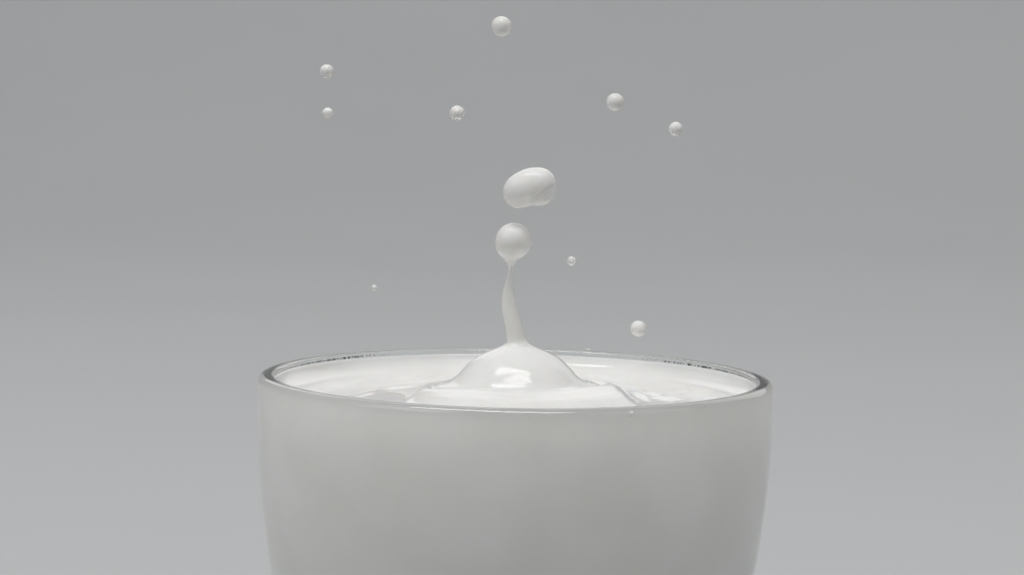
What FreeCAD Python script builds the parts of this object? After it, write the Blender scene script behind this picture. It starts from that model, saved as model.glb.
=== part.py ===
import FreeCAD, Part
import math
import os

# A rounded glass tumbler of milk, at the instant after a drop has landed in it: a domed swell on
# a lower terrace, a thin jet with a bead on its tip, and what has already torn free of the jet.
# Millimetres, +Z up. The tumbler stands on Z = 0 and its axis is the Z axis.

# Tumbler
RIM_RADIUS = 37.5
TUMBLER_HEIGHT = 62.0
WALL = 2.45
SIDE_CURVE_RADIUS = 150.0
UPRIGHT_BAND = 3.0
HEEL_RADIUS = 10.0
FLOOR_THICKNESS = 7.0
FLOOR_CORNER_RADIUS = 10.0
FOOT_RING_WIDTH = 2.4
PUNT_DEPTH = 1.2
OUTER_LIP_ROUND = 1.2
INNER_LIP_ROUND = 0.6

# Milk at rest
FILL_GAP = 3.65
MENISCUS_RISE = 2.7
MENISCUS_WIDTH = 6.5
MENISCUS_KNEE = 0.8

# Swell that the landed drop raises: a terrace, and a dome on it. Each has a root below the
# surface that it rises from, and its radius is taken down there.
TERRACE_SHIFT = 0.9
TERRACE_TILT = 1.2
TERRACE_RADIUS = 17.7
TERRACE_HEIGHT = 3.05
TERRACE_ROOT = -1.0
TERRACE_FULLNESS = 3.6
TERRACE_SHARPNESS = 1.0
DOME_SHIFT = 0.3
DOME_RADIUS = 11.75
DOME_HEIGHT = 7.9
DOME_ROOT = 2.2
DOME_FULLNESS = 1.5
DOME_SHARPNESS = 2.0
OUTLINE_STEPS = 9

# Jet and the bead on its tip: heights above the milk at rest, shifts towards +X
JET_DIAMETER = 2.6
JET_TAPER_START = 11.0
JET_TAPER_POWER = 1.4
NECK_DIAMETER = 0.8
NECK_HEIGHT = 19.4
JET_FOOT_SHIFT = 0.15
JET_LOW_SHIFT = -0.45
JET_LOW_HEIGHT = 10.8
JET_BOW_SHIFT = -1.35
JET_BOW_HEIGHT = 15.9
NECK_SHIFT = -0.95
JET_FLARE = 1.2
JET_FLARE_LENGTH = 0.5
BEAD_FLARE = 0.25
BEAD_FLARE_LENGTH = 0.4
BEAD_DIAMETER = 5.4
BEAD_HEIGHT = 23.25
BEAD_SHIFT = -0.7
JET_ROOT = 0.25
JET_STEPS = 16

# Two-lobed blob that has torn free above the bead
BLOB_SHIFT = 1.5
BLOB_ABOVE_BEAD = 7.75
LOBE_DIAMETER = 5.4
LOBE_SPACING = 2.5
BLOB_TILT = 19.0
WAIST_ROUND = 2.0
SEAM_THICKNESS = 0.01

# Droplets in flight: sideways, away from the viewer, height above the milk at rest, diameter
DROPLETS = [
    (-3.0, 3.0, 54.3, 3.0),
    (-27.7, -6.0, 47.5, 2.0),
    (13.8, 5.0, 43.6, 2.6),
    (-9.1, -3.0, 41.8, 2.2),
    (-28.4, 7.0, 41.2, 1.6),
    (22.3, -4.0, 40.1, 2.1),
    (7.8, 2.0, 20.4, 1.4),
    (-20.5, -7.0, 16.8, 0.8),
    (17.5, -5.0, 11.4, 2.3),
]

UP = FreeCAD.Vector(0, 0, 1)
SIDEWAYS_TILT_AXIS = FreeCAD.Vector(0, 1, 0)
FULL_TURN = 360.0
INNER_RADIUS = RIM_RADIUS - WALL
BAND_BASE = TUMBLER_HEIGHT - UPRIGHT_BAND
MILK_LEVEL = TUMBLER_HEIGHT - FILL_GAP


def point(radius, height):
    return FreeCAD.Vector(radius, 0, height)


def line(start, end):
    return Part.makeLine(start, end)


def arc(centre, radius, start_degrees, end_degrees):
    angles = [start_degrees, (start_degrees + end_degrees) / 2, end_degrees]
    places = [centre + point(radius * math.cos(math.radians(angle)), radius * math.sin(math.radians(angle)))
              for angle in angles]
    return Part.Arc(*places).toShape()


def spline(places):
    curve = Part.BSplineCurve()
    curve.interpolate(places)
    return curve.toShape()


def revolve(edges):
    face = Part.Face(Part.Wire(edges))
    return face.revolve(point(0, 0), UP, FULL_TURN)


def side_and_corner(inset, floor, corner_radius):
    """Edges from the top of the curved side down to the floor, for a side set in from the outer one."""
    side_centre = point(RIM_RADIUS - SIDE_CURVE_RADIUS, BAND_BASE)
    side_radius = SIDE_CURVE_RADIUS - inset
    drop = BAND_BASE - floor - corner_radius
    turn = -math.degrees(math.asin(drop / (side_radius - corner_radius)))
    reach = (side_radius - corner_radius) * math.cos(math.radians(turn))
    corner_centre = point(side_centre.x + reach, floor + corner_radius)
    side = arc(side_centre, side_radius, 0, turn)
    corner = arc(corner_centre, corner_radius, turn, -90)
    return [side, corner], corner_centre.x


def tumbler():
    outer, foot_radius = side_and_corner(0, 0, HEEL_RADIUS)
    inner, floor_radius = side_and_corner(WALL, FLOOR_THICKNESS, FLOOR_CORNER_RADIUS)
    foot_inner = foot_radius - FOOT_RING_WIDTH
    outer_round = point(RIM_RADIUS - OUTER_LIP_ROUND, TUMBLER_HEIGHT - OUTER_LIP_ROUND)
    inner_round = point(INNER_RADIUS + INNER_LIP_ROUND, TUMBLER_HEIGHT - INNER_LIP_ROUND)
    # the sphere under the base passes through the punt's middle and the foot ring's inner edge
    punt_radius = (foot_inner ** 2 + PUNT_DEPTH ** 2) / (2 * PUNT_DEPTH)
    punt_edge = math.degrees(math.acos(foot_inner / punt_radius))
    edges = [
        arc(point(0, PUNT_DEPTH - punt_radius), punt_radius, 90, punt_edge),
        line(point(foot_inner, 0), point(foot_radius, 0)),
        *outer,
        line(point(RIM_RADIUS, BAND_BASE), point(RIM_RADIUS, outer_round.z)),
        arc(outer_round, OUTER_LIP_ROUND, 0, 90),
        line(point(outer_round.x, TUMBLER_HEIGHT), point(inner_round.x, TUMBLER_HEIGHT)),
        arc(inner_round, INNER_LIP_ROUND, 90, 180),
        line(point(INNER_RADIUS, inner_round.z), point(INNER_RADIUS, BAND_BASE)),
        *inner,
        line(point(floor_radius, FLOOR_THICKNESS), point(0, FLOOR_THICKNESS)),
        line(point(0, FLOOR_THICKNESS), point(0, PUNT_DEPTH)),
    ]
    return revolve(Part.__sortEdges__(edges))


def pool():
    """The milk at rest: it fills the tumbler's inside and climbs the wall a little."""
    inner, floor_radius = side_and_corner(WALL, FLOOR_THICKNESS, FLOOR_CORNER_RADIUS)
    climb = point(INNER_RADIUS, MILK_LEVEL + MENISCUS_RISE)
    level_edge = point(INNER_RADIUS - MENISCUS_WIDTH, MILK_LEVEL)
    meniscus = Part.BezierCurve()
    meniscus.setPoles([climb, point(INNER_RADIUS - MENISCUS_KNEE, MILK_LEVEL), level_edge])
    edges = [
        line(point(0, FLOOR_THICKNESS), point(floor_radius, FLOOR_THICKNESS)),
        *inner,
        line(point(INNER_RADIUS, BAND_BASE), climb),
        meniscus.toShape(),
        line(level_edge, point(0, MILK_LEVEL)),
        line(point(0, MILK_LEVEL), point(0, FLOOR_THICKNESS)),
    ]
    return revolve(Part.__sortEdges__(edges))


def swell(full_radius, height, root, fullness, sharpness):
    """A round hill of milk: fullness widens its top, sharpness draws its side in."""
    places = []
    for step in range(OUTLINE_STEPS + 1):
        radius = full_radius * (1 - step / OUTLINE_STEPS)
        rise = math.cos(math.pi / 2 * (radius / full_radius) ** fullness) ** sharpness
        places.append(point(radius, MILK_LEVEL + root + (height - root) * rise))
    base = point(0, MILK_LEVEL + root)
    return revolve([line(base, places[0]), spline(places), line(places[-1], base)])


def terrace():
    body = swell(TERRACE_RADIUS, TERRACE_HEIGHT, TERRACE_ROOT, TERRACE_FULLNESS, TERRACE_SHARPNESS)
    body.rotate(point(0, MILK_LEVEL), SIDEWAYS_TILT_AXIS, -TERRACE_TILT)
    return body.translated(point(TERRACE_SHIFT, 0))


def dome():
    body = swell(DOME_RADIUS, DOME_HEIGHT, DOME_ROOT, DOME_FULLNESS, DOME_SHARPNESS)
    return body.translated(point(DOME_SHIFT, 0))


def jet_radius(height):
    """Half the jet's thickness: flared at the dome, tapering to the neck, flared again at the bead."""
    taper = max(0.0, min(1.0, (height - JET_TAPER_START) / (NECK_HEIGHT - JET_TAPER_START)))
    thickness = NECK_DIAMETER + (JET_DIAMETER - NECK_DIAMETER) * (1 - taper ** JET_TAPER_POWER)
    foot_flare = JET_FLARE * math.exp((DOME_HEIGHT - height) / JET_FLARE_LENGTH)
    bead_bottom = BEAD_HEIGHT - BEAD_DIAMETER / 2
    bead_flare = BEAD_FLARE * math.exp((height - bead_bottom) / BEAD_FLARE_LENGTH)
    return thickness / 2 + foot_flare + bead_flare


def jet_centreline():
    """The jet leaves the dome's middle, bows to one side and comes part of the way back to the bead."""
    bead_bottom = BEAD_HEIGHT - BEAD_DIAMETER / 2
    curve = Part.BSplineCurve()
    curve.interpolate([
        point(JET_FOOT_SHIFT, MILK_LEVEL + DOME_HEIGHT - JET_ROOT),
        point(JET_LOW_SHIFT, MILK_LEVEL + JET_LOW_HEIGHT),
        point(JET_BOW_SHIFT, MILK_LEVEL + JET_BOW_HEIGHT),
        point(NECK_SHIFT, MILK_LEVEL + NECK_HEIGHT),
        point(BEAD_SHIFT, MILK_LEVEL + bead_bottom + JET_ROOT),
    ])
    return curve


def jet():
    centreline = jet_centreline()
    start, end = centreline.FirstParameter, centreline.LastParameter
    rings = []
    for step in range(JET_STEPS + 1):
        # closer together towards both flared ends
        share = (1 - math.cos(math.pi * step / JET_STEPS)) / 2
        place = start + (end - start) * share
        centre = centreline.value(place)
        radius = jet_radius(centre.z - MILK_LEVEL)
        circle = Part.makeCircle(radius, centre, centreline.tangent(place)[0])
        rings.append(Part.Wire(circle))
    return Part.makeLoft(rings, True)


def bead():
    return Part.makeSphere(BEAD_DIAMETER / 2, point(BEAD_SHIFT, MILK_LEVEL + BEAD_HEIGHT))


def milk():
    body = pool().fuse([terrace(), dome(), jet(), bead()])
    return body.removeSplitter()


def blob():
    """Two round lobes run together, with the seam between them smoothed to a shallow waist."""
    middle = point(BLOB_SHIFT, MILK_LEVEL + BEAD_HEIGHT + BLOB_ABOVE_BEAD)
    half_spacing = point(LOBE_SPACING / 2, 0)
    lobes = [Part.makeSphere(LOBE_DIAMETER / 2, side) for side in (-half_spacing, half_spacing)]
    body = lobes[0].fuse(lobes[1])
    seam = [edge for edge in body.Edges if edge.BoundBox.XLength < SEAM_THICKNESS]
    body = body.makeFillet(WAIST_ROUND, seam)
    body.rotate(point(0, 0), SIDEWAYS_TILT_AXIS, -BLOB_TILT)
    body.translate(middle)
    return body


def droplet(sideways, away, height, diameter):
    return Part.makeSphere(diameter / 2, FreeCAD.Vector(sideways, away, MILK_LEVEL + height))


def main():
    os.makedirs("parts", exist_ok=True)
    nodes = {"tumbler": tumbler(), "milk": milk(), "blob": blob()}
    for number, sizes in enumerate(DROPLETS, start=1):
        nodes[f"droplet_{number}"] = droplet(*sizes)
    for name, shape in nodes.items():
        shape.exportStep(f"parts/{name}.step")
        print(name, len(shape.Solids), "solid,", round(shape.Volume / 1000, 3), "ml, valid:", shape.isValid())


main()
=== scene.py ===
import math
import random

import bmesh
import bpy
from mathutils import Matrix, Vector, noise


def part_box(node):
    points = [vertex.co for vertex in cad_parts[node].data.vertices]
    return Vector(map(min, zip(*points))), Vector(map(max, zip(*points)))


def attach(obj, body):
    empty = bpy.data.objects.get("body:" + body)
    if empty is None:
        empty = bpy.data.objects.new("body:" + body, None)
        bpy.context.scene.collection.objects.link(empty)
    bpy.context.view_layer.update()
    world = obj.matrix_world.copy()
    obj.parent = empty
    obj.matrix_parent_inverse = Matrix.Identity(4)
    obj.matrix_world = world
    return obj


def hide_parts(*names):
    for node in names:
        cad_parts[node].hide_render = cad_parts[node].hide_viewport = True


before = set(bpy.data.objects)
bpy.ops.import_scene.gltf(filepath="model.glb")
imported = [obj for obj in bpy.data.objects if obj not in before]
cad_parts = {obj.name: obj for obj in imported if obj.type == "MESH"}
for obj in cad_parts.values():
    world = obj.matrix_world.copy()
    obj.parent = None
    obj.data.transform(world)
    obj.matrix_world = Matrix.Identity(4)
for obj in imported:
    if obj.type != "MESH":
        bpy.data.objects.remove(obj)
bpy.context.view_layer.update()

mm = 0.001
mergeDistance = 0.0005      # points nearer than this are one, in millimetres

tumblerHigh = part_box("tumbler")[1]
milkLow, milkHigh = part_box("milk")
rimRadius = tumblerHigh.x / mm
rimHeight = tumblerHigh.z / mm
innerRadius = milkHigh.x / mm
floorHeight = milkLow.z / mm

# the sizes of the pieces are in millimetres, and each mesh is made metres when it is finished
glassSizes = {
    "sideCurve": 150.0,     # radius of the long curve of the side
    "uprightBand": 3.0,     # straight part under the rim
    "heelRound": 10.0,
    "floorCorner": 10.0,
    "footWidth": 2.4,       # ring it stands on
    "puntDepth": 1.2,       # hollow under the base
    "outerLipRound": 1.2,
    "innerLipRound": 0.6,
    "turns": 256,
    "sideSteps": 40,
    "puntSteps": 12,
    "lipSteps": 8,
    "waviness": 0.035,      # how far the pressed glass strays from a true circle
    "wavesPerMm": (0.045, 0.045, 0.027),
    "wavesFrom": 1.0,       # the foot ring stays true up to this height
}

milkSizes = {
    "fillGap": 3.65,        # milk below the rim
    "meniscusRise": 2.7,
    "meniscusWidth": 6.5,
    "meniscusKnee": 0.8,
    "intoWall": 0.12,       # reaches this far into the glass
    "edgeDrops": (0, 0.04, 0.15, 0.5, 1.2),     # rings below its edge, so that it shades crisply there
    "turns": 224,
    "outlineStep": 0.22,
    "poolStep": 0.45,
    "meniscusSteps": 18,
    "sideSteps": 24,
    "topDepth": 0.4,        # what lies deeper than this, and in the wall, stays even
    "jetFrom": (7.7, 9.2),  # heights between which the swell's lean gives way to the jet's
    "calmMiddle": (1.8, 2.6),       # no unevenness nearer the axis than this
    "calmRim": (30.0, 34.0),        # nor farther out
}

milkLevel = rimHeight - milkSizes["fillGap"]

# half outline of the splash: distance from its axis, height above the resting milk
jetOutline = [
    (0.39, 19.7), (0.385, 18.8), (0.49, 17.9), (0.78, 16.2), (1.01, 14.4), (1.22, 12.7),
    (1.29, 11.0), (1.30, 9.9), (1.36, 9.15), (1.60, 8.55), (2.10, 8.12),
]
domeOutline = [
    (2.9, 7.75), (4.3, 7.18), (5.8, 6.40), (7.0, 5.5),
    (7.9, 4.58), (8.7, 3.70), (9.4, 3.10), (10.1, 2.71),
]
terraceOutline = [
    (11.0, 2.50), (12.0, 2.32), (13.0, 2.16), (14.0, 1.94),
    (14.8, 1.60), (15.6, 1.02), (16.3, 0.46), (16.9, 0.10), (17.4, 0.0), (18.2, 0.0),
]

beadShape = {
    "radius": 2.72,
    "centreHeight": 23.25,
    "neckAngle": 157,       # degrees from its top to where the neck takes over
    "steps": 30,
}

# sideways lean of the jet: height above the resting milk, shift
jetLean = [
    (7.4, 0.10), (8.3, -0.02), (9.6, -0.20), (10.9, -0.45), (12.2, -0.79), (13.5, -1.11), (14.9, -1.30),
    (16.2, -1.34), (17.5, -1.18), (18.8, -0.99), (20.8, -0.95), (23.4, -0.68), (26.0, -0.66),
]


def smoothStep(low, high, value):
    share = min(1.0, max(0.0, (value - low) / (high - low)))
    return share * share * (3 - 2 * share)


def insideBand(rising, falling, value):
    # 1 inside the band, and smoothly down to 0 past its two edges
    return smoothStep(*rising, value) * (1 - smoothStep(*falling, value))


def hump(centre, width, value):
    return math.exp(-((value - centre) / width) ** 2)


def readStations(stations, place):
    # reads a smooth curve that runs through the stations
    place = min(stations[-1][0], max(stations[0][0], place))
    padded = [stations[0]] + stations + [stations[-1]]
    for before, start, end, after in zip(padded, padded[1:], padded[2:], padded[3:]):
        if place <= end[0]:
            break
    span = end[0] - start[0]
    share = (place - start[0]) / span
    leaving = (end[1] - before[1]) / (end[0] - before[0]) * span
    arriving = (after[1] - start[1]) / (after[0] - start[0]) * span
    stay, move = 2 * share ** 3 - 3 * share ** 2 + 1, 3 * share ** 2 - 2 * share ** 3
    turnAway, turnTo = share ** 3 - 2 * share ** 2 + share, share ** 3 - share ** 2
    return stay * start[1] + move * end[1] + turnAway * leaving + turnTo * arriving


def smoothOutline(points, step):
    # a Catmull-Rom curve through the points, cut into short even steps
    points = [Vector(p) for p in points]
    padded = [2 * points[0] - points[1]] + points + [2 * points[-1] - points[-2]]
    smooth = []
    for before, start, end, after in zip(padded, padded[1:], padded[2:], padded[3:]):
        cuts = max(1, round((end - start).length / step))
        for cut in range(cuts):
            t = cut / cuts
            square, cube = 2 * before - 5 * start + 4 * end - after, 3 * start - before - 3 * end + after
            smooth.append(0.5 * (2 * start + (end - before) * t + square * t ** 2 + cube * t ** 3))
    return smooth + [points[-1]]


def arcPoints(centre, radius, startDegrees, endDegrees, steps):
    points = []
    for step in range(steps + 1):
        angle = math.radians(startDegrees + (endDegrees - startDegrees) * step / steps)
        across = centre[0] + radius * math.cos(angle)
        points.append(Vector((across, centre[1] + radius * math.sin(angle))))
    return points


def sideAndCorner(inset, floor, cornerRadius, steps):
    # the curved side from the upright band down to the floor, as in the solid glass
    bandBase = rimHeight - glassSizes["uprightBand"]
    centre = (rimRadius - glassSizes["sideCurve"], bandBase)
    radius = glassSizes["sideCurve"] - inset
    turn = -math.degrees(math.asin((bandBase - floor - cornerRadius) / (radius - cornerRadius)))
    cornerX = centre[0] + (radius - cornerRadius) * math.cos(math.radians(turn))
    side = arcPoints(centre, radius, 0, turn, steps)
    corner = arcPoints((cornerX, floor + cornerRadius), cornerRadius, turn, -90, steps // 2)
    return side + corner[1:]


def spinOutline(outline, turns):
    shape = bmesh.new()
    chain = [shape.verts.new((point[0], 0, point[1])) for point in outline]
    edges = [shape.edges.new(pair) for pair in zip(chain, chain[1:])]
    bmesh.ops.spin(shape, geom=chain + edges, axis=(0, 0, 1), cent=(0, 0, 0), angle=2 * math.pi,
                   steps=turns, use_merge=True)
    bmesh.ops.remove_doubles(shape, verts=shape.verts, dist=mergeDistance)
    bmesh.ops.recalc_face_normals(shape, faces=shape.faces)
    return shape


def makeObject(name, shape, material):
    # the shape becomes a smooth object in metres
    bmesh.ops.scale(shape, vec=(mm, mm, mm), verts=shape.verts)
    for face in shape.faces:
        face.smooth = True
    mesh = bpy.data.meshes.new(name)
    shape.to_mesh(mesh)
    shape.free()
    mesh.materials.append(material)
    piece = bpy.data.objects.new(name, mesh)
    bpy.context.scene.collection.objects.link(piece)
    return piece


def finishPiece(name, shape, material, replacedNode=None):
    piece = makeObject(name, shape, material)
    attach(piece, "root")
    if replacedNode:
        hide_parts(replacedNode)


def newMaterial(name):
    material = bpy.data.materials.new(name)
    material.use_nodes = True
    nodes = material.node_tree.nodes
    nodes.clear()
    return material, nodes, material.node_tree.links


def addNode(nodes, kind, inputs=None, **settings):
    node = nodes.new(kind)
    for key, value in settings.items():
        setattr(node, key, value)
    for key, value in (inputs or {}).items():
        node.inputs[key].default_value = value
    return node


def addRange(nodes, source, target=(0, 1)):
    (low, high), (start, end) = source, target
    return addNode(nodes, "ShaderNodeMapRange", {
        "From Min": low, "From Max": high, "To Min": start, "To Max": end})


def makeSurfaceWobble():
    # liquid and pressed glass are never perfectly even: a fine, slow height pattern
    group = bpy.data.node_groups.new("surfaceWobble", "ShaderNodeTree")
    for socket, default in (("Fine Size", 900.0), ("Broad Size", 120.0), ("Fine Share", 0.35)):
        entry = group.interface.new_socket(socket, in_out="INPUT", socket_type="NodeSocketFloat")
        entry.default_value = default
    group.interface.new_socket("Height", in_out="OUTPUT", socket_type="NodeSocketFloat")
    group.interface.new_socket("Patches", in_out="OUTPUT", socket_type="NodeSocketFloat")
    nodes, links = group.nodes, group.links
    entry = addNode(nodes, "NodeGroupInput")
    leave = addNode(nodes, "NodeGroupOutput")
    place = addNode(nodes, "ShaderNodeTexCoord")
    fine = addNode(nodes, "ShaderNodeTexNoise", {"Detail": 3.0, "Roughness": 0.5})
    broad = addNode(nodes, "ShaderNodeTexNoise", {"Detail": 2.0, "Roughness": 0.45})
    mix = addNode(nodes, "ShaderNodeMix")
    links.new(place.outputs["Object"], fine.inputs["Vector"])
    links.new(place.outputs["Object"], broad.inputs["Vector"])
    links.new(entry.outputs["Fine Size"], fine.inputs["Scale"])
    links.new(entry.outputs["Broad Size"], broad.inputs["Scale"])
    links.new(entry.outputs["Fine Share"], mix.inputs[0])
    links.new(broad.outputs["Fac"], mix.inputs[2])
    links.new(fine.outputs["Fac"], mix.inputs[3])
    links.new(mix.outputs[0], leave.inputs["Height"])
    links.new(broad.outputs["Fac"], leave.inputs["Patches"])
    return group


surfaceWobble = makeSurfaceWobble()

milkFinish = {
    "creamColour": (0.86, 0.85, 0.825, 1),
    "whiteColour": (0.90, 0.895, 0.88, 1),
    "colourPatches": (0.35, 0.65),      # part of the broad pattern over which the colour changes
    "roughness": (0.055, 0.10),
    "roughPatches": (0.3, 0.7),
    "wobble": {"Fine Size": 420.0, "Broad Size": 90.0, "Fine Share": 0.25},
    "wobbleDepth": 0.000015,        # metres
    "subsurface": 0.35,
    "subsurfaceScale": 0.0016,
    "subsurfaceRadius": (1.0, 0.9, 0.75),
    "ior": 1.35,
}


def makeMilkMaterial():
    material, nodes, links = newMaterial("wholeMilk")
    wobble = addNode(nodes, "ShaderNodeGroup", milkFinish["wobble"], node_tree=surfaceWobble)
    colour = addNode(nodes, "ShaderNodeMix", data_type="RGBA")
    colour.inputs[6].default_value = milkFinish["creamColour"]
    colour.inputs[7].default_value = milkFinish["whiteColour"]
    spread = addRange(nodes, milkFinish["colourPatches"])
    gloss = addRange(nodes, milkFinish["roughPatches"], milkFinish["roughness"])
    bump = addNode(nodes, "ShaderNodeBump", {"Strength": 1.0, "Distance": milkFinish["wobbleDepth"]})
    shader = addNode(nodes, "ShaderNodeBsdfPrincipled", {
        "IOR": milkFinish["ior"],
        "Subsurface Weight": milkFinish["subsurface"],
        "Subsurface Scale": milkFinish["subsurfaceScale"],
        "Subsurface Radius": milkFinish["subsurfaceRadius"],
    })
    output = addNode(nodes, "ShaderNodeOutputMaterial")
    links.new(wobble.outputs["Patches"], spread.inputs["Value"])
    links.new(wobble.outputs["Patches"], gloss.inputs["Value"])
    links.new(spread.outputs[0], colour.inputs[0])
    links.new(wobble.outputs["Height"], bump.inputs["Height"])
    links.new(colour.outputs[2], shader.inputs["Base Color"])
    links.new(gloss.outputs[0], shader.inputs["Roughness"])
    links.new(bump.outputs[0], shader.inputs["Normal"])
    links.new(shader.outputs[0], output.inputs[0])
    return material


glassFinish = {
    "colour": (0.965, 0.98, 0.972, 1),
    "groundColour": (0.36, 0.37, 0.37, 1),
    "shadowColour": (0.93, 0.94, 0.935, 1),     # what the lamps' light keeps on its way through
    "ior": 1.5,
    "wobble": {"Fine Size": 260.0, "Broad Size": 45.0, "Fine Share": 0.1},
    "wobbleStrength": 0.13,
    "wobbleDepth": 0.0001,
    "roughness": (0.0, 0.30),       # polished, ground
    "groundDepth": 0.00014,
    "grainSize": 2000.0,
    "grainPits": (0.60, 0.42),      # part of the grain that is pitted
    # where the lip is ground, in metres: from the axis, from the rim up, to the side, to the back
    "groundReach": (0.0362, 0.0364),
    "groundDown": (-0.0010, -0.0007),
    "groundSide": (0.018, 0.028),
    "groundBack": (-0.004, 0.002),
}


def makeGroundEdge(nodes, links, place):
    # mask of the ground outer edge of the lip, which shows at the right and the left
    split = addNode(nodes, "ShaderNodeSeparateXYZ")
    links.new(place.outputs["Object"], split.inputs[0])
    level = addNode(nodes, "ShaderNodeVectorMath", operation="MULTIPLY")
    level.inputs[1].default_value = (1, 1, 0)
    links.new(place.outputs["Object"], level.inputs[0])
    reach = addNode(nodes, "ShaderNodeVectorMath", operation="LENGTH")
    links.new(level.outputs[0], reach.inputs[0])
    sideways = addNode(nodes, "ShaderNodeMath", operation="ABSOLUTE")
    links.new(split.outputs["X"], sideways.inputs[0])
    top = rimHeight * mm
    limits = [
        (reach.outputs["Value"], glassFinish["groundReach"]),
        (split.outputs["Z"], [top + down for down in glassFinish["groundDown"]]),
        (sideways.outputs[0], glassFinish["groundSide"]),
        (split.outputs["Y"], glassFinish["groundBack"]),
    ]
    mask = None
    for value, edges in limits:
        limit = addRange(nodes, edges)
        links.new(value, limit.inputs["Value"])
        if mask:
            both = addNode(nodes, "ShaderNodeMath", operation="MULTIPLY")
            links.new(mask, both.inputs[0])
            links.new(limit.outputs[0], both.inputs[1])
            mask = both.outputs[0]
        else:
            mask = limit.outputs[0]
    return mask


def makeGlassMaterial():
    material, nodes, links = newMaterial("clearGlass")
    place = addNode(nodes, "ShaderNodeTexCoord")
    ground = makeGroundEdge(nodes, links, place)
    grain = addNode(nodes, "ShaderNodeTexNoise", {
        "Scale": glassFinish["grainSize"], "Detail": 2.0, "Roughness": 0.6})
    links.new(place.outputs["Object"], grain.inputs["Vector"])
    pit = addRange(nodes, glassFinish["grainPits"])
    links.new(grain.outputs["Fac"], pit.inputs["Value"])
    frost = addNode(nodes, "ShaderNodeMath", operation="MULTIPLY")
    links.new(pit.outputs[0], frost.inputs[0])
    links.new(ground, frost.inputs[1])
    colour = addNode(nodes, "ShaderNodeMix", data_type="RGBA")
    colour.inputs[6].default_value = glassFinish["colour"]
    colour.inputs[7].default_value = glassFinish["groundColour"]
    links.new(frost.outputs[0], colour.inputs[0])
    wobble = addNode(nodes, "ShaderNodeGroup", glassFinish["wobble"], node_tree=surfaceWobble)
    wavy = addNode(nodes, "ShaderNodeBump", {
        "Strength": glassFinish["wobbleStrength"], "Distance": glassFinish["wobbleDepth"]})
    links.new(wobble.outputs["Height"], wavy.inputs["Height"])
    bump = addNode(nodes, "ShaderNodeBump", {"Strength": 1.0, "Distance": glassFinish["groundDepth"]})
    links.new(frost.outputs[0], bump.inputs["Height"])
    links.new(wavy.outputs[0], bump.inputs["Normal"])
    gloss = addRange(nodes, (0, 1), glassFinish["roughness"])
    links.new(ground, gloss.inputs["Value"])
    shader = addNode(nodes, "ShaderNodeBsdfPrincipled", {
        "IOR": glassFinish["ior"],
        "Transmission Weight": 1.0,
    })
    links.new(colour.outputs[2], shader.inputs["Base Color"])
    links.new(gloss.outputs[0], shader.inputs["Roughness"])
    links.new(bump.outputs[0], shader.inputs["Normal"])
    # lamps shine through the glass, so that what is inside it is lit
    lightPath = addNode(nodes, "ShaderNodeLightPath")
    letThrough = addNode(nodes, "ShaderNodeBsdfTransparent", {"Color": glassFinish["shadowColour"]})
    either = addNode(nodes, "ShaderNodeMixShader")
    output = addNode(nodes, "ShaderNodeOutputMaterial")
    links.new(lightPath.outputs["Is Shadow Ray"], either.inputs[0])
    links.new(shader.outputs[0], either.inputs[1])
    links.new(letThrough.outputs[0], either.inputs[2])
    links.new(either.outputs[0], output.inputs[0])
    return material


milkMaterial = makeMilkMaterial()
glassMaterial = makeGlassMaterial()
print("materials ready")


def makeTumbler():
    steps, lipSteps = glassSizes["sideSteps"], glassSizes["lipSteps"]
    outer = sideAndCorner(0, 0, glassSizes["heelRound"], steps)
    inner = sideAndCorner(rimRadius - innerRadius, floorHeight, glassSizes["floorCorner"], steps)
    footInner = outer[-1].x - glassSizes["footWidth"]
    outerRound, innerRound = glassSizes["outerLipRound"], glassSizes["innerLipRound"]
    punt = glassSizes["puntDepth"]
    puntRadius = (footInner ** 2 + punt ** 2) / (2 * punt)
    puntEdge = math.degrees(math.acos(footInner / puntRadius))
    outline = arcPoints((0, punt - puntRadius), puntRadius, 90, puntEdge, glassSizes["puntSteps"])
    outline += list(reversed(outer))
    outerCentre = (rimRadius - outerRound, rimHeight - outerRound)
    innerCentre = (innerRadius + innerRound, rimHeight - innerRound)
    outline += arcPoints(outerCentre, outerRound, 0, 90, lipSteps)
    outline += arcPoints(innerCentre, innerRound, 90, 180, lipSteps)
    outline += inner
    outline += [Vector((inner[-1].x * share, floorHeight)) for share in (0.75, 0.5, 0.25, 0)]
    shape = spinOutline(outline, glassSizes["turns"])
    for vert in shape.verts:
        if vert.co.z > glassSizes["wavesFrom"]:
            place = vert.co * Vector(glassSizes["wavesPerMm"])
            sway = glassSizes["waviness"] * abs(noise.noise(place))
            vert.co.x -= vert.co.x / rimRadius * sway
            vert.co.y -= vert.co.y / rimRadius * sway
    finishPiece("glassTumbler", shape, glassMaterial, "tumbler")


makeTumbler()
print("tumbler made")

ripples = {
    "foot": 17.4,           # they start at the foot of the swell
    "height": 0.016,
    "length": 3.1,
    "fade": 5.5,
    "band": ((16.8, 18.6), (25, 30)),
    "patchWaves": (0.08, 0.0),
    "bumpsFrom": (16.4, 17.6),      # distance at which the pool's bumps begin
}

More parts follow.
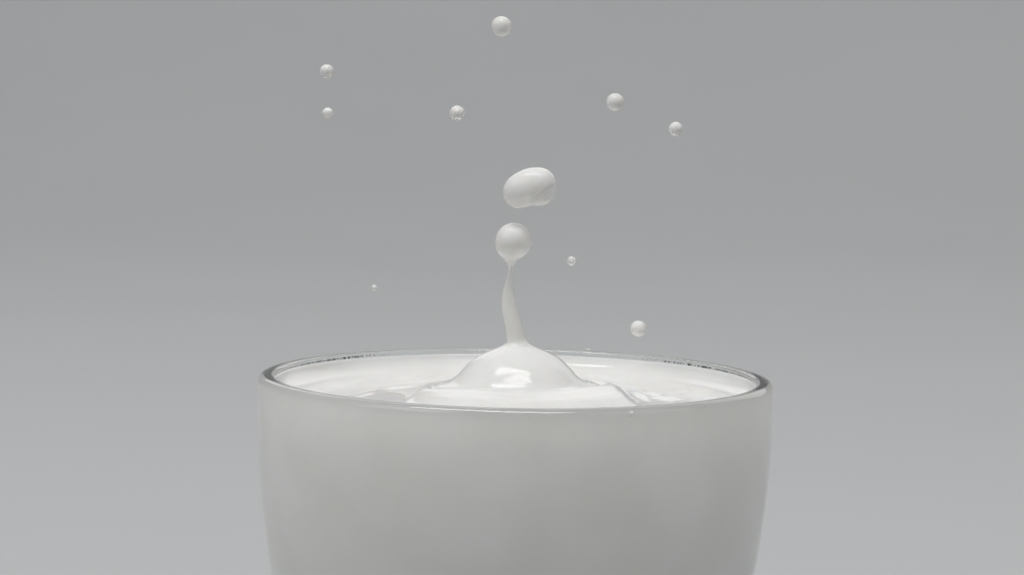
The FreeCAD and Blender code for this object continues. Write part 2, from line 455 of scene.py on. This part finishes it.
# low bumps on the pool: right, away, height, half length, half width, turn in degrees
poolBumps = [
    (26.1, 14.2, 0.13, 2.6, 0.60, 4),       # near and far edge of a flat oval
    (26.5, 20.6, 0.12, 2.6, 0.75, 4),
    (17.9, 8.0, 0.45, 5.4, 0.60, 100),      # ripple beside the swell, and those that branch from it
    (20.4, 9.6, 0.38, 3.6, 0.60, 112),
    (21.2, 5.6, 0.34, 2.0, 0.70, 150),
    (22.8, 4.6, 0.28, 2.0, 0.60, 25),
    (-17.9, 13.2, 0.22, 4.6, 1.10, 50),     # long ripple at the left
    (-22.4, 4.6, 0.18, 5.2, 0.90, 70),
    (-18.2, 5.0, 0.14, 3.2, 0.80, 105),
]

# the swell lies a little to the right of the tumbler's axis, its terrace more than its dome
splashPlace = {
    "domeShift": 0.3,
    "terraceShift": 0.9,
    "domeToTerrace": (10, 15),
    "terraceToPool": (17, 28),
}


def splashShift(radius):
    dome, terrace = splashPlace["domeShift"], splashPlace["terraceShift"]
    outwards = (terrace - dome) * smoothStep(*splashPlace["domeToTerrace"], radius)
    return dome + outwards - terrace * smoothStep(*splashPlace["terraceToPool"], radius)


# the fold between dome and terrace, and the roll outside it
foldSizes = {
    "frontRadius": 9.6,
    "sideRadius": 12.7,
    "rightSwing": (-0.45, 0.40),    # sines of the angles at which it swings outwards
    "leftSwing": (-0.95, -0.15),
    "depth": 0.55,
    "frontShare": 0.24,     # of its depth
    "leftShare": 0.9,
    "rightPlace": (0.02, 0.62),     # angle at which it is deepest and its reach, in radians
    "leftPlace": (math.pi + 0.45, 0.50),
    "width": 0.72,
    "rollOutside": 1.5,     # crest of the roll, outside the fold
    "rollHeight": 0.22,
    "rollWidth": 1.2,
    "rightRise": 0.12,      # the terrace stands higher at the right than at the left
    "sway": 0.07,           # irregular unevenness of terrace and dome
    "terraceBand": ((8.5, 11.0), (14.5, 17.2)),     # distances where each begins and ends
    "domeBand": ((2.5, 4.5), (9.0, 10.5)),
    "terraceWaves": (0.16, 3.0),    # waves per millimetre, and which layer of the noise
    "domeWaves": (0.22, 9.0),
}


def foldDepth(angle):
    # deepest at the right, clear at the left, faint in front
    right, left = (hump(0, reach, math.remainder(angle - place, 2 * math.pi))
                   for place, reach in (foldSizes["rightPlace"], foldSizes["leftPlace"]))
    front = foldSizes["frontShare"]
    return front + (1 - front) * max(right, foldSizes["leftShare"] * left)


def foldRadius(angle):
    # it swings outwards from the front to both sides, later at the right
    start, end = foldSizes["rightSwing" if abs(angle) < math.pi / 2 else "leftSwing"]
    swing = smoothStep(start, end, math.sin(angle))
    return foldSizes["frontRadius"] + (foldSizes["sideRadius"] - foldSizes["frontRadius"]) * swing


# shallow shapes on the front of the dome, listed the same way
domeBumps = [
    (-0.3, -7.9, -0.05, 2.0, 0.26, 2),
    (1.4, -8.6, -0.03, 1.6, 0.22, -4),
    (2.9, -7.0, 0.06, 2.6, 0.50, -8),
    (-0.8, -2.9, 0.12, 0.35, 0.30, 20),
    (0.9, -2.7, 0.12, 0.40, 0.28, -30),
    (-3.6, -5.0, 0.05, 1.8, 0.45, 52),
]


def bumpHeight(bumps, x, y):
    lift = 0.0
    for right, away, height, length, width, turn in bumps:
        dx, dy = x - right, y - away
        turned = math.radians(turn)
        along = dx * math.cos(turned) + dy * math.sin(turned)
        across = dy * math.cos(turned) - dx * math.sin(turned)
        lift += height * math.exp(-(along / length) ** 2 - (across / width) ** 2)
    return lift


def unevenness(x, y, waves):
    perMm, layer = waves
    return noise.noise(Vector((x, y, layer)) * perMm)


def surfaceLift(x, y):
    # unevenness of the top of the milk at a place, in millimetres
    radius = math.hypot(x, y)
    if radius < 0.01:
        return 0.0
    angle = math.atan2(y, x)
    onTerrace = insideBand(*foldSizes["terraceBand"], radius)
    lift = foldSizes["rightRise"] * x / radius * onTerrace
    foldPlace = foldRadius(angle)
    fold = foldSizes["depth"] * hump(foldPlace, foldSizes["width"], radius)
    crest = foldPlace + foldSizes["rollOutside"]
    roll = foldSizes["rollHeight"] * hump(crest, foldSizes["rollWidth"], radius)
    lift += foldDepth(angle) * (roll - fold)
    lift += foldSizes["sway"] * onTerrace * unevenness(x, y, foldSizes["terraceWaves"])
    onDome = insideBand(*foldSizes["domeBand"], radius)
    lift += foldSizes["sway"] * onDome * unevenness(x, y, foldSizes["domeWaves"])
    lift += bumpHeight(domeBumps, x, y)
    fromFoot = radius - ripples["foot"]
    swing = math.cos(2 * math.pi * fromFoot / ripples["length"])
    patchy = 0.5 + unevenness(x, y, ripples["patchWaves"])
    height = ripples["height"] * math.exp(-fromFoot / ripples["fade"])
    lift += insideBand(*ripples["band"], radius) * height * swing * patchy
    return lift + bumpHeight(poolBumps, x, y) * smoothStep(*ripples["bumpsFrom"], radius)


def milkOutline():
    # from the bead's tip down the jet, over the swell and the pool to the wall, and down inside the glass
    step = milkSizes["outlineStep"]
    beadCentre, neck = (0, beadShape["centreHeight"]), 90 - beadShape["neckAngle"]
    bead = arcPoints(beadCentre, beadShape["radius"], 90, neck, beadShape["steps"])
    top = bead + smoothOutline([bead[-1]] + jetOutline + domeOutline + terraceOutline, step)[1:]
    wall = innerRadius + milkSizes["intoWall"]
    meniscusStart = innerRadius - milkSizes["meniscusWidth"]
    poolStart = terraceOutline[-1][0]
    poolCuts = round((meniscusStart - poolStart) / milkSizes["poolStep"])
    for cut in range(1, poolCuts + 1):
        top.append(Vector((poolStart + (meniscusStart - poolStart) * cut / poolCuts, 0)))
    knee = innerRadius - milkSizes["meniscusKnee"]
    for cut in range(1, milkSizes["meniscusSteps"] + 1):
        # it leaves the level milk flat, and meets the wall steep
        share = cut / milkSizes["meniscusSteps"]
        away = 1 - share
        radius = away ** 2 * meniscusStart + 2 * share * away * knee + share ** 2 * innerRadius
        top.append(Vector((radius, milkSizes["meniscusRise"] * share ** 2)))
    edgeHeight = milkSizes["meniscusRise"] + milkSizes["intoWall"]
    top += [Vector((wall, edgeHeight - drop)) for drop in milkSizes["edgeDrops"]]
    outline = [Vector((point[0], point[1] + milkLevel)) for point in top]
    inset = rimRadius - innerRadius - milkSizes["intoWall"]
    inside = sideAndCorner(inset, floorHeight - milkSizes["intoWall"], glassSizes["floorCorner"],
                           milkSizes["sideSteps"])
    outline += inside
    outline += [Vector((inside[-1].x * share, inside[-1].y)) for share in (0.66, 0.33, 0)]
    return outline


def makeMilk():
    shape = spinOutline(milkOutline(), milkSizes["turns"])
    topEdge = milkLevel - milkSizes["topDepth"]
    for vert in shape.verts:
        x, y, z = vert.co
        radius = math.hypot(x, y)
        if z < topEdge or radius > innerRadius:
            continue
        onJet = smoothStep(*milkSizes["jetFrom"], z - milkLevel)
        uneven = insideBand(milkSizes["calmMiddle"], milkSizes["calmRim"], radius)
        vert.co.x = x + readStations(jetLean, z - milkLevel) * onJet + splashShift(radius) * (1 - onJet)
        vert.co.z = z + surfaceLift(x, y) * uneven
    finishPiece("milkWithJet", shape, milkMaterial, "milk")


makeMilk()
print("milk made")

blobShape = {
    "centre": (1.5, 0.0, 31.0),
    "meanRadius": 3.37,
    "depth": 2.75,
    # its outline from the front: how many lobes, how high, where the first one points
    "lobes": [(1, 0.11, 44), (2, 0.63, 15), (3, 0.14, -32), (4, 0.08, 44), (5, 0.04, 28)],
    "foldSlope": 38,        # degrees; shallow folds run up to the right
    "foldDepth": 0.20,
    "foldSide": (-0.35, 0.25),      # they begin to the left of the middle
    "folds": [(1.0, 0.46, 0.055), (0.8, 0.59, 0.045)],      # share of the depth, place across, width
    "sway": 0.05,
    "waves": 1.7,
}


def makeBlob():
    shape = bmesh.new()
    bmesh.ops.create_icosphere(shape, subdivisions=6, radius=1.0)
    centre = Vector(blobShape["centre"]) + Vector((0, 0, milkLevel))
    slope = math.radians(blobShape["foldSlope"])
    for vert in shape.verts:
        way = vert.co.normalized()
        angle = math.atan2(way.z, way.x)
        reach = blobShape["meanRadius"]
        for count, height, turn in blobShape["lobes"]:
            reach += height * math.cos(count * (angle - math.radians(turn)))
        sideways = way.x ** 2 + way.z ** 2
        radius = reach * sideways + blobShape["depth"] * (1 - sideways)
        across = way.x * math.sin(slope) - way.z * math.cos(slope)
        front = max(0.0, -way.y) * smoothStep(*blobShape["foldSide"], way.x)
        folds = sum(share * hump(place, width, across) for share, place, width in blobShape["folds"])
        radius -= blobShape["foldDepth"] * front * folds
        radius += blobShape["sway"] * noise.noise(way * blobShape["waves"])
        vert.co = centre + way * radius
    finishPiece("milkBlob", shape, milkMaterial, "blob")


makeBlob()

dropletShape = {
    "flatten": 0.035,       # most that a droplet is squeezed along one way
    "least": 0.2,           # share of it that each one gets at least
    "bulge": 0.3,           # share of it that comes back across
    "sway": 0.012,
    "waves": 1.3,
    "seed": 7,
}


def makeDroplets():
    chance = random.Random(dropletShape["seed"])
    names = sorted(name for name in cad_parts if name.startswith("droplet_"))
    for number, name in enumerate(names, start=1):
        low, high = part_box(name)
        centre, radius = (low + high) / 2 / mm, (high.x - low.x) / 2 / mm
        shape = bmesh.new()
        bmesh.ops.create_icosphere(shape, subdivisions=5, radius=radius)
        squeeze = chance.uniform(dropletShape["least"], 1.0) * dropletShape["flatten"]
        bulge = 1 + squeeze * dropletShape["bulge"]
        bmesh.ops.scale(shape, vec=(bulge, 1, 1 - squeeze), verts=shape.verts)
        turnY = Matrix.Rotation(chance.uniform(0, math.pi), 3, "Y")
        turnX = Matrix.Rotation(chance.uniform(0, math.pi), 3, "X")
        bmesh.ops.rotate(shape, cent=(0, 0, 0), matrix=turnY @ turnX, verts=shape.verts)
        for vert in shape.verts:
            place = vert.co / radius * dropletShape["waves"] + Vector((number, 0, 0))
            vert.co *= 1 + dropletShape["sway"] * noise.noise(place)
        bmesh.ops.translate(shape, vec=centre, verts=shape.verts)
        finishPiece(f"milkDroplet_{number}", shape, milkMaterial, name)


makeDroplets()
print("blob and droplets made")

# tiny things on the glass and the milk: place (right, away, above the rim), half sizes, what they are of
specks = {
    "rimSpeck": ((15.6, -34.15, -0.75), (0.26, 0.30, 0.42), "milk"),
    "farRimBead": ((11.4, 34.3, 0.10), (0.42, 0.30, 0.26), "milk"),
    "sideSpeck": ((-37.03, -0.4, -15.3), (0.10, 0.14, 0.14), "milk"),
    "foldBubble": ((10.75, 0.6, -0.72), (0.36, 0.36, 0.30), "clear_glass"),
}
speckShape = {"sway": 0.08, "waves": 4.0}


def makeSpecks():
    for name, (place, halfSizes, slot) in specks.items():
        shape = bmesh.new()
        bmesh.ops.create_icosphere(shape, subdivisions=4, radius=1.0)
        bmesh.ops.scale(shape, vec=halfSizes, verts=shape.verts)
        for vert in shape.verts:
            uneven = noise.noise(vert.co * speckShape["waves"] + Vector(place))
            vert.co *= 1 + speckShape["sway"] * uneven
        bmesh.ops.translate(shape, vec=Vector(place) + Vector((0, 0, rimHeight)), verts=shape.verts)
        finishPiece(name, shape, milkMaterial if slot == "milk" else glassMaterial)


makeSpecks()
print("specks made")

stageSizes = {
    "floorRadius": 1000.0,
    "sweepRadius": 1600.0,
    "wallHeight": 2800.0,
    "turns": 96,
    "sweepSteps": 24,
    "nearColour": (0.435, 0.44, 0.445, 1),
    "farColour": (0.46, 0.465, 0.47, 1),
    "mottleSize": 6.0,
    "roughness": 0.75,
    "glow": 0.16,           # added where the camera, or glass and milk, look at it
}


def makeStageMaterial():
    material, nodes, links = newMaterial("paleStage")
    place = addNode(nodes, "ShaderNodeTexCoord")
    mottle = addNode(nodes, "ShaderNodeTexNoise", {"Scale": stageSizes["mottleSize"], "Detail": 2.0})
    colour = addNode(nodes, "ShaderNodeMix", data_type="RGBA")
    colour.inputs[6].default_value = stageSizes["nearColour"]
    colour.inputs[7].default_value = stageSizes["farColour"]
    shader = addNode(nodes, "ShaderNodeBsdfPrincipled", {"Roughness": stageSizes["roughness"]})
    output = addNode(nodes, "ShaderNodeOutputMaterial")
    links.new(place.outputs["Object"], mottle.inputs["Vector"])
    links.new(mottle.outputs["Fac"], colour.inputs[0])
    links.new(colour.outputs[2], shader.inputs["Base Color"])
    # the camera, and what mirrors or refracts the stage, see it a little paler than the lamps make it
    lightPath = addNode(nodes, "ShaderNodeLightPath")
    seenOrMirrored = addNode(nodes, "ShaderNodeMath", operation="MAXIMUM")
    seen = addNode(nodes, "ShaderNodeMath", operation="MAXIMUM")
    glow = addNode(nodes, "ShaderNodeMath", operation="MULTIPLY")
    glow.inputs[1].default_value = stageSizes["glow"]
    links.new(lightPath.outputs["Is Camera Ray"], seenOrMirrored.inputs[0])
    links.new(lightPath.outputs["Is Glossy Ray"], seenOrMirrored.inputs[1])
    links.new(seenOrMirrored.outputs[0], seen.inputs[0])
    links.new(lightPath.outputs["Is Transmission Ray"], seen.inputs[1])
    links.new(seen.outputs[0], glow.inputs[0])
    links.new(colour.outputs[2], shader.inputs["Emission Color"])
    links.new(glow.outputs[0], shader.inputs["Emission Strength"])
    links.new(shader.outputs[0], output.inputs[0])
    return material


def makeStage():
    floorRadius, sweep = stageSizes["floorRadius"], stageSizes["sweepRadius"]
    outline = [Vector((0, 0)), Vector((floorRadius * 0.5, 0))]
    outline += arcPoints((floorRadius, sweep), sweep, -90, 0, stageSizes["sweepSteps"])
    outline.append(Vector((floorRadius + sweep, stageSizes["wallHeight"])))
    shape = spinOutline(outline, stageSizes["turns"])
    bmesh.ops.reverse_faces(shape, faces=shape.faces)
    makeObject("studioSweep", shape, makeStageMaterial())


makeStage()

# where each soft light stands in metres, its width and height, its power in watts
softLights = {
    "overhead": ((-0.10, -0.17, 1.24), (1.0, 0.32), 8.3),
    "leftFront": ((-1.20, -0.75, 1.35), (1.2, 1.0), 6.3),
    "rightFill": ((1.10, -0.35, 1.20), (1.1, 1.0), 2.6),
    "back": ((0.30, 1.60, 0.95), (2.0, 1.1), 5.0),
}
lightTarget = (0, 0, 0.06)      # they all point at the rim


def makeLights():
    for name, (place, (width, height), power) in softLights.items():
        lamp = bpy.data.lights.new(name, "AREA")
        lamp.shape = "RECTANGLE"
        lamp.size, lamp.size_y = width, height
        lamp.energy = power
        holder = bpy.data.objects.new(name, lamp)
        holder.location = place
        facing = Vector(lightTarget) - Vector(place)
        holder.rotation_euler = facing.to_track_quat("-Z", "Y").to_euler()
        bpy.context.scene.collection.objects.link(holder)


makeLights()

worldLight = {"colour": (1.0, 1.0, 1.0, 1), "strength": 0.26}
world = bpy.data.worlds.new("studioAir")
bpy.context.scene.world = world
world.use_nodes = True
background = world.node_tree.nodes["Background"]
background.inputs["Color"].default_value = worldLight["colour"]
background.inputs["Strength"].default_value = worldLight["strength"]

cameraPlace = {
    "distance": 0.415,      # metres from the middle of the rim
    "elevation": 6.91,      # degrees above the plane of the rim
    "aim": (-0.785, 0, 12.893),     # millimetres from the middle of the rim
    "roll": 1.023,          # degrees
    "lens": 100.0,
    "sensor": 36.0,
    "nearest": 0.01,
}


def makeCamera():
    rimMiddle = Vector((0, 0, rimHeight * mm))
    rise = math.radians(cameraPlace["elevation"])
    place = rimMiddle + cameraPlace["distance"] * Vector((0, -math.cos(rise), math.sin(rise)))
    aim = rimMiddle + Vector(cameraPlace["aim"]) * mm
    facing = (aim - place).to_track_quat("-Z", "Y").to_matrix()
    facing = facing @ Matrix.Rotation(math.radians(cameraPlace["roll"]), 3, "Z")
    camera = bpy.data.cameras.new("camera")
    camera.lens = cameraPlace["lens"]
    camera.sensor_width = cameraPlace["sensor"]
    camera.clip_start = cameraPlace["nearest"]
    holder = bpy.data.objects.new("camera", camera)
    holder.matrix_world = Matrix.Translation(place) @ facing.to_4x4()
    bpy.context.scene.collection.objects.link(holder)
    bpy.context.scene.camera = holder


makeCamera()
bpy.context.scene.view_settings.view_transform = "Standard"
print("stage, lights and camera ready")
